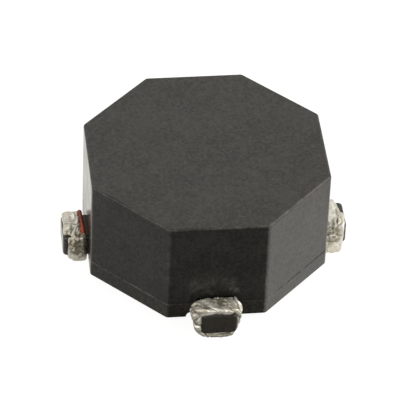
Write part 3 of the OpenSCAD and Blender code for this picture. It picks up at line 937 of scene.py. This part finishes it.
def makeTurnsTree():
    s = skin
    tree, given = newTree("solderedTurns", {
        **dict.fromkeys(terminal, "Float"), "Smoothing": "Int", "Stain": "Vector",
        "Seed": "Float", "Facing": "Float", "Material": "Material",
    })
    beadSize = addNode(tree, "GeometryNodeInputNamedAttribute", {"Name": "bead"})
    clouds = [
        addNode(tree, "GeometryNodeMeshToPoints", {"Mesh": given["Geometry"], "Radius": beadSize}),
        stringBeads(tree, given, s["turnHeight"], s["turnBead"], 0),
        stringBeads(tree, given, given["Fill Height"], s["fillBead"], s["fillShift"]),
    ]
    here = addNode(tree, "GeometryNodeInputPosition")
    normal = addNode(tree, "GeometryNodeInputNormal")
    flowed = meltBeads(tree, given, clouds, here)
    wave, away, rough = skinFolds(tree, given, here)
    patch, crinkle = skinPatch(tree, given, here)
    rise = skinRise(tree, given, wave, away, rough, patch, crinkle)
    offset = addNode(tree, "ShaderNodeVectorMath", {0: normal, "Scale": rise}, operation="SCALE")
    wrinkled = addNode(tree, "GeometryNodeSetPosition", {"Geometry": flowed, "Offset": offset})
    flux = skinFlux(tree, given, here, normal, away, rough, patch, crinkle)
    kept = addNode(tree, "GeometryNodeStoreNamedAttribute", {
        "Geometry": wrinkled, "Name": "fold", "Value": flux,
    })
    # Pressed flat where it stands on the board, and stopped by the body's side and short of the
    # post's end.
    nearStop = (s["bodySide"], -s["farAway"], 0)
    farStop = (s["postEnd"], s["farAway"], s["farAway"])
    offBody = addNode(tree, "ShaderNodeVectorMath", {0: here, 1: nearStop}, operation="MAXIMUM")
    confined = addNode(tree, "ShaderNodeVectorMath", {0: offBody, 1: farStop}, operation="MINIMUM")
    pressed = addNode(tree, "GeometryNodeSetPosition", {"Geometry": kept, "Position": confined})
    endTree(tree, pressed, given["Facing"], given["Material"])
    return tree


# Solder that pooled under each post as a flat foot.
foot = {"x": (5.84, 6.56), "y": (-0.55, 0.55), "z": (0.115, 0.115), "bead": 0.125}


# Beads that fill a flat patch, from one corner to the other, a step apart.
def beadPatch(first, last, radius, step=0.07):
    counts = [int(abs(b - a) / step) + 1 for a, b in zip(first, last)]
    ways = [[a + (b - a) * i / max(1, n - 1) for i in range(n)] for a, b, n in zip(first, last, counts)]
    return [(x, y, z, radius) for x in ways[0] for y in ways[1] for z in ways[2]]


# Beads that follow a run of points.
def beadRun(points, radius, step=0.04):
    beads = []
    for a, b in zip(points, points[1:]):
        steps = max(1, math.ceil((b - a).length / step))
        beads += [tuple(a.lerp(b, i / steps)) + (radius,) for i in range(steps)]
    return beads


turnsTree = makeTurnsTree()
for name, angle in facing.items():
    own = hand[name]
    leadPoints = terminalLead(winding["lowLead"], facing["right"])[:own["lead"]]
    beads = beadPatch(*zip(foot["x"], foot["y"], foot["z"]), foot["bead"])
    beads += beadRun(leadPoints, own["leadBead"])
    for xs, ys, zs, radius in own["patches"]:
        beads += beadPatch(*zip(xs, ys, zs), radius)
    for *points, radius in own["runs"]:
        beads += beadRun([Vector(p) for p in points], radius)
    start = bpy.data.meshes.new(name)
    start.from_pydata([b[:3] for b in beads], [], [])
    sizes = start.attributes.new("bead", "FLOAT", "POINT")
    sizes.data.foreach_set("value", [b[3] for b in beads])
    values = dict(terminal, Seed=own["seed"], Facing=math.radians(angle), Material=solderMaterial)
    values.update({k: v for k, v in own.items() if k in terminal})
    piece = growPiece("solderedPost_" + name, start, turnsTree, values)
    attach(piece, "root")
    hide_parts("solder_wrap_" + name)
print("terminals done")


warmth = "fffcf5"  # of the lamps and of what the part mirrors

# The floor is a pale table: it keeps the part's shadow, and its own white is added only for the
# camera and for reflections, where it falls off towards the front as the light does.
table = {"size": 2, "drop": 0.01, "paint": 0.25, "white": 0.92}
# Azimuth in degrees and the white that a reflection meets there.
sweep = (
    (-180, 1), (-166, 0.42), (-150, 0.34), (-114, 0.32), (-110, 0.03), (-84, 0.01), (-69, 0.04), (-65, 1),
    (-10, 1), (-5, 0.8), (85, 0.8), (95, 1), (180, 1),
)


def setStops(ramp, stops):
    while len(ramp.elements) < len(stops):
        ramp.elements.new(1)
    for element, (place, white) in zip(ramp.elements, stops):
        element.position = place
        element.color = (white, white, white, 1)


def makeTable():
    material, tree, shader, place = newMaterial("paleTable")
    around = addNode(tree, "ShaderNodeTexGradient", {0: place}, gradient_type="RADIAL")
    ramp = addNode(tree, "ShaderNodeValToRGB", {0: around.outputs["Fac"]})
    setStops(ramp.color_ramp, [(angle / 360 + 0.5, white) for angle, white in sweep])
    ray = addNode(tree, "ShaderNodeLightPath").outputs
    seen = addNode(tree, "ShaderNodeMath", {
        0: ray["Is Camera Ray"], 1: ray["Is Transmission Ray"],
    }, operation="MAXIMUM")
    steady = addNode(tree, "ShaderNodeMath", {0: seen, 1: table["white"]}, operation="MULTIPLY")
    swept = addNode(tree, "ShaderNodeMath", {0: ray["Is Glossy Ray"], 1: ramp}, operation="MULTIPLY")
    glow = addNode(tree, "ShaderNodeMath", {0: steady, 1: swept}, operation="ADD")
    warmed = addNode(tree, "ShaderNodeMix", {
        0: ray["Is Camera Ray"], colourA: linear(warmth), colourB: linear("ffffff"),
    }, data_type="RGBA")
    feed(tree, shader, {
        "Emission Strength": glow, "Emission Color": warmed.outputs[colourOut],
        "Base Color": (table["paint"],) * 3 + (1,), "Roughness": 1, "Specular IOR Level": 0,
    })
    return material


mesh = bpy.data.meshes.new("table")
half, low = table["size"] / 2, -table["drop"] * mm
corners = [(-half, -half, low), (half, -half, low), (half, half, low), (-half, half, low)]
mesh.from_pydata(corners, [], [(0, 1, 2, 3)])
mesh.materials.append(makeTable())
floor = bpy.data.objects.new("table", mesh)
bpy.context.scene.collection.objects.link(floor)

# Soft boxes: azimuth, elevation, distance and size in metres, and the level that each gives a face
# turned to it.
lamps = {
    "boxRight": {"azimuth": 345, "elevation": 28, "distance": 0.5, "size": (0.8, 0.5), "level": 0.94},
    "boxBehind": {"azimuth": 95, "elevation": 50, "distance": 0.5, "size": (0.8, 0.5), "level": 0.31},
    "boxLeft": {"azimuth": 225, "elevation": 25, "distance": 0.5, "size": (0.7, 0.5), "level": 0.6},
}
for name, lamp in lamps.items():
    light = bpy.data.lights.new(name, "AREA")
    light.shape = "RECTANGLE"
    light.size, light.size_y = lamp["size"]
    light.color = linear(warmth)[:3]
    light.energy = math.pi ** 2 * lamp["distance"] ** 2 * lamp["level"]
    box = bpy.data.objects.new(name, light)
    elevation = math.radians(lamp["elevation"])
    towards = polar(math.cos(elevation), lamp["azimuth"], math.sin(elevation))
    box.location = towards * lamp["distance"]
    box.rotation_euler = towards.to_track_quat("Z", "Y").to_euler()
    bpy.context.scene.collection.objects.link(box)

# The room: even, dim on the part, brighter in its reflections and white behind it.
room = {"light": 0.14, "mirrored": 0.37, "seen": 0.86}
world = bpy.data.worlds.new("room")
bpy.context.scene.world = world
world.use_nodes = True
tree = world.node_tree
tree.nodes.clear()
ray = addNode(tree, "ShaderNodeLightPath").outputs
mirrored = addNode(tree, "ShaderNodeMath", {
    0: ray["Is Glossy Ray"], 1: room["mirrored"], 2: room["light"],
}, operation="MULTIPLY_ADD")
behind = addNode(tree, "ShaderNodeMath", {
    0: ray["Is Camera Ray"], 1: room["seen"], 2: mirrored,
}, operation="MULTIPLY_ADD")
warmed = addNode(tree, "ShaderNodeMix", {
    0: ray["Is Camera Ray"], colourA: linear(warmth), colourB: linear("ffffff"),
}, data_type="RGBA")
sky = addNode(tree, "ShaderNodeBackground", {"Strength": behind, "Color": warmed.outputs[colourOut]})
addNode(tree, "ShaderNodeOutputWorld", {"Surface": sky})

# Millimetres; a long lens from just left of square on, rolled a little.
view = {
    "from": (-17.389, -125.131, 110.917), "at": (-0.24, -0.16, 2.95), "roll": 2.43,
    "lens": 310.04, "sensor": 36,
}
camera = bpy.data.objects.new("camera", bpy.data.cameras.new("camera"))
bpy.context.scene.collection.objects.link(camera)
camera.location = Vector(view["from"]) * mm
ahead = Vector(view["at"]) - Vector(view["from"])
rolled = ahead.to_track_quat("-Z", "Y").to_matrix() @ Matrix.Rotation(math.radians(view["roll"]), 3, "Z")
camera.rotation_euler = rolled.to_euler()
camera.data.lens, camera.data.sensor_width = view["lens"], view["sensor"]
camera.data.clip_start, camera.data.clip_end = 0.005, 20
bpy.context.scene.camera = camera
bpy.context.scene.view_settings.view_transform = "Standard"
print("stage done")
